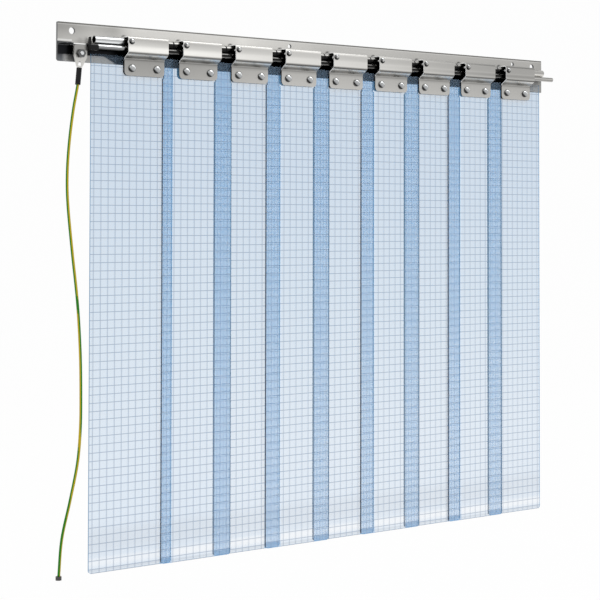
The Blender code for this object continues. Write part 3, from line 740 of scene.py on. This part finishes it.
def add_clamp_screws(number, steel, polished):
    """Two button screws through the clamp, with the nut plate and its pressed collars at the back."""
    plate_front, plate_back, tip = axis_y + 0.0037, axis_y + 0.0047, axis_y + 0.0057
    head_radius, head_height = 0.00465, 0.0029
    shank_radius, tip_radius, tip_length = 0.0024, 0.002, 0.0004
    collar_radius, tip_stands_out = 0.0029, 0.0003
    head_sides, shank_sides, collar_sides = 32, 20, 24
    x = first_hanger_x + (number - 1) * pitch
    head = dome_profile(head_radius, head_height, screw_seat_y)
    shank = [
        (0, screw_seat_y), (shank_radius, screw_seat_y), (shank_radius, tip - tip_length),
        (tip_radius, tip), (0, tip),
    ]
    parts = [(prism(nut_plate_outline(x), plate_front, plate_back), 0)]
    for side in (-1, 1):
        centre = (x + side * screw_offset, 0, screw_z)
        collar = arc((centre[0], screw_z), collar_radius, 0, 360, collar_sides)[:-1]
        parts.append((turned(head, centre, head_sides), 1))
        parts.append((turned(shank, centre, shank_sides), 1))
        parts.append((prism(collar, plate_back, tip - tip_stands_out), 0))
    piece = joined(f"clamp_screws_{number}", parts, (steel, polished))
    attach(piece, f"curtain_{number}")
    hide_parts(f"nut_plate_{number}")


def add_guide_screw(number, polished):
    """The head of the guide screw, a little larger than the plain one that it covers."""
    head_radius, head_height, overlap, sides = 0.00368, 0.00225, 0.0002, 28
    centre = (first_hanger_x + (number - 1) * pitch + guide_offset, 0, axis_z)
    profile = dome_profile(head_radius, head_height, guide_seat_y + overlap)
    piece = joined(f"guide_screw_head_{number}", [(turned(profile, centre, sides), 0)], (polished,))
    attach(piece, f"curtain_{number}")


# The earth lead, on the route that the model gives it: points (x, z) from the bolt in the tab.
lead_radius = 0.00165
lug_lean = math.radians(5.2)
lead_exit_drops = (0.0223, 0.036)
lead_route = (
    (-0.0089, -0.0655), (-0.0136, -0.1010), (-0.0160, -0.1356), (-0.0152, -0.1705),
    (-0.0094, -0.2247), (-0.0023, -0.2824), (0.0018, -0.3403), (0.0029, -0.3936),
    (0.0023, -0.4298), (-0.0011, -0.4658), (-0.0104, -0.5078), (-0.0205, -0.5495),
    (-0.0242, -0.5930),
)


def smooth_step(start, end, value):
    share = min(max((value - start) / (end - start), 0), 1)
    return share * share * (3 - 2 * share)


def lead_points(step_length):
    """Evenly spaced points of the lead's centre line, and its length."""
    starts = [(-math.sin(lug_lean) * drop, -math.cos(lug_lean) * drop) for drop in lead_exit_drops]
    points = [Vector(point) for point in (*starts, *lead_route)]
    padded = [2 * points[0] - points[1], *points, 2 * points[-1] - points[-2]]
    steps = 24
    curve = []
    for p0, p1, p2, p3 in zip(padded, padded[1:], padded[2:], padded[3:]):
        for step in range(steps):
            t = step / steps
            curve.append(
                (2 * p1 + (p2 - p0) * t + (2 * p0 - 5 * p1 + 4 * p2 - p3) * t**2
                 + (3 * p1 - p0 - 3 * p2 + p3) * t**3) / 2
            )
    curve.append(points[-1])
    lengths = [0]
    for first, second in zip(curve, curve[1:]):
        lengths.append(lengths[-1] + (second - first).length)
    count = round(lengths[-1] / step_length)
    spaced, index = [], 0
    for number in range(count + 1):
        target = lengths[-1] * number / count
        while index < len(curve) - 2 and lengths[index + 1] < target:
            index += 1
        share = (target - lengths[index]) / (lengths[index + 1] - lengths[index])
        point = curve[index].lerp(curve[index + 1], share)
        spaced.append(Vector((tab_x + point.x, lug_y, bolt_z + point.y)))
    return spaced, lengths[-1]


def add_lead(green, yellow):
    """A two-colour cover: the boundary of the colours turns round the lead twice on its way down."""
    first_turn, second_turn, foot = (-0.285, -0.315), (-0.44, -0.47), (-0.5, -0.55)
    green_middle = math.radians(29)
    sides = 24
    points, length = lead_points(0.004)
    outward = Vector((0, 1, 0))
    bm = bmesh.new()
    rings = []
    for index, point in enumerate(points):
        before, after = points[max(index - 1, 0)], points[min(index + 1, len(points) - 1)]
        along = (after - before).normalized()
        across = outward.cross(along).normalized()
        ring = []
        for side in range(sides):
            angle = 2 * math.pi * side / sides
            offset = across * math.cos(angle) + outward * math.sin(angle)
            ring.append(bm.verts.new(point + offset * lead_radius))
        rings.append(ring)
    for index, (lower, upper) in enumerate(zip(rings, rings[1:])):
        height = (points[index].z + points[index + 1].z) / 2
        turn = math.pi * (smooth_step(*first_turn, height) + smooth_step(*second_turn, height))
        # More of the foot is green.
        limit = -0.4 * smooth_step(*foot, height)
        for side in range(sides):
            after = (side + 1) % sides
            face = bm.faces.new((lower[side], lower[after], upper[after], upper[side]))
            middle = 2 * math.pi * (side + 0.5) / sides
            face.material_index = 0 if math.cos(middle - green_middle + turn) > limit else 1
    bm.faces.new(rings[0][::-1])
    bm.faces.new(rings[-1])
    bmesh.ops.recalc_face_normals(bm, faces=bm.faces)
    piece = new_piece("earth_lead_cover", bm, (green, yellow))
    piece.data.shade_smooth()
    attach(piece, "rail")
    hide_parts("earth_lead")


# Studio.
def add_world():
    """White where it is seen or reflected, and a little weaker as light on the object."""
    lit_strength, seen_strength = 0.82, 0.987
    world = bpy.data.worlds.new("studio")
    bpy.context.scene.world = world
    world.use_nodes = True
    shading = Shading(world.node_tree)
    seen = shading.seen_by("Camera", "Glossy", "Transmission")
    values = {"Value": seen, "To Min": lit_strength, "To Max": seen_strength}
    strength = shading.node("ShaderNodeMapRange", None, values)
    background = world.node_tree.nodes["Background"]
    shading.feed(background.inputs["Color"], white)
    shading.feed(background.inputs["Strength"], strength)


def add_floor():
    """A pale floor that shows as white to the camera and keeps a faint shadow."""
    half, z, white_share = 6.0, -0.8, 0.93
    bm = bmesh.new()
    corners = ((-half, -half, z), (half, -half, z), (half, half, z), (-half, half, z))
    bm.faces.new([bm.verts.new(corner) for corner in corners])
    finish = Finish("pale_floor")
    finish.set(Base_Color=(0.98, 0.98, 0.98), Roughness=0.8)
    lit = Level(finish, finish.shader.outputs[0])
    glow = finish.node("ShaderNodeEmission", None, {"Color": white, "Strength": 1.0})
    seen = finish.seen_by("Camera", "Glossy") * white_share
    mixed = finish.node("ShaderNodeMixShader", None, {0: seen, 1: lit, 2: glow})
    finish.feed(finish.tree.nodes["Material Output"].inputs["Surface"], mixed)
    floor = new_piece("floor", bm, [finish.material])


def add_light(name, place, target, size, power):
    light = bpy.data.lights.new(name, "AREA")
    light.size = size
    light.energy = power
    lamp = bpy.data.objects.new(name, light)
    lamp.location = place
    lamp.rotation_euler = (Vector(target) - Vector(place)).to_track_quat("-Z", "Y").to_euler()
    bpy.context.scene.collection.objects.link(lamp)


def add_camera():
    """The photo's view, solved from the outline, the rail and the hangers."""
    data = bpy.data.cameras.new("camera")
    data.sensor_width = 36
    data.lens = 96.45
    data.shift_y = -0.2062
    data.clip_end = 100
    camera = bpy.data.objects.new("camera", data)
    camera.location = (-1.2453, -1.6353, -0.2012)
    camera.rotation_euler = (math.radians(91.493), math.radians(-0.104), math.radians(-36.417))
    bpy.context.scene.collection.objects.link(camera)
    bpy.context.scene.camera = camera


def give(node, material):
    """A CAD piece takes one material."""
    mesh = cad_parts[node].data
    mesh.materials.clear()
    mesh.materials.append(material)
    for polygon in mesh.polygons:
        polygon.material_index = 0


def build():
    add_camera()
    add_world()
    add_floor()
    add_light("key", place=(1.3, -1.7, 2.5), target=(0, 0, -0.2), size=1.6, power=22)
    add_light("fill", place=(-2.2, -1.2, 1.2), target=(0, 0, -0.3), size=2.0, power=6)
    bpy.context.scene.view_settings.view_transform = "Standard"

    green = cover_finish("lead_green", (0.018, 0.18, 0.006))
    yellow = cover_finish("lead_yellow", (0.47, 0.35, 0.006))
    add_lead(green, yellow)

    give("rail_plate", rail_finish())
    give("shelf", shelf_finish())
    give("hanging_tube", tube_finish())
    give("locking_rod", rod_finish())
    hanger = hanger_finish()
    nylon = moulded_finish("black_nylon_moulding", tone=0.005, roughness=0.45)
    rubber = moulded_finish("black_rubber_packing", tone=0.012, roughness=0.6)
    steel = plain_steel_finish("nut_plate_steel", tone=0.5, roughness=0.3)
    # Painted reflections on the screws; the guide screws take darker ones.
    polished = polished_painted_reflection("polished_screw", darkest=0.04, middle=0.43, brightest=0.95)
    darker_polished_reflection = polished_painted_reflection("polished_guide_screw", darkest=0.015, middle=0.13, brightest=0.7)
    front_pvc = pvc_finish("front_strip_pvc", axis_y, shift_x=0.0, shift_z=0.0, behind=False)
    rear_pvc = pvc_finish(
        "rear_strip_pvc", axis_y + rear_shift, shift_x=0.0031, shift_z=0.0024, behind=True
    )
    give("end_stop", nylon)
    give("lead_sleeve", nylon)
    for number in range(1, strip_count + 1):
        give(f"saddle_{number}", nylon)
        give(f"hanger_{number}", hanger)
        give(f"packing_{number}", rubber)
        give(f"strip_{number}", rear_pvc if number % 2 else front_pvc)
        add_clamp_screws(number, steel, polished)
        add_guide_screw(number, darker_polished_reflection)
    give("earth_lug", lug_finish())
    # Painted reflections on the earth nut, darker, and on the earth bolt, brighter.
    give("earth_nut", polished_painted_reflection("polished_nut", darkest=0.03, middle=0.14, brightest=0.4))
    give("earth_bolt", polished_painted_reflection("polished_bolt", darkest=0.25, middle=0.7, brightest=0.95))
    give("lead_ferrule", plain_steel_finish("ferrule_steel", tone=0.09, roughness=0.4))


build()
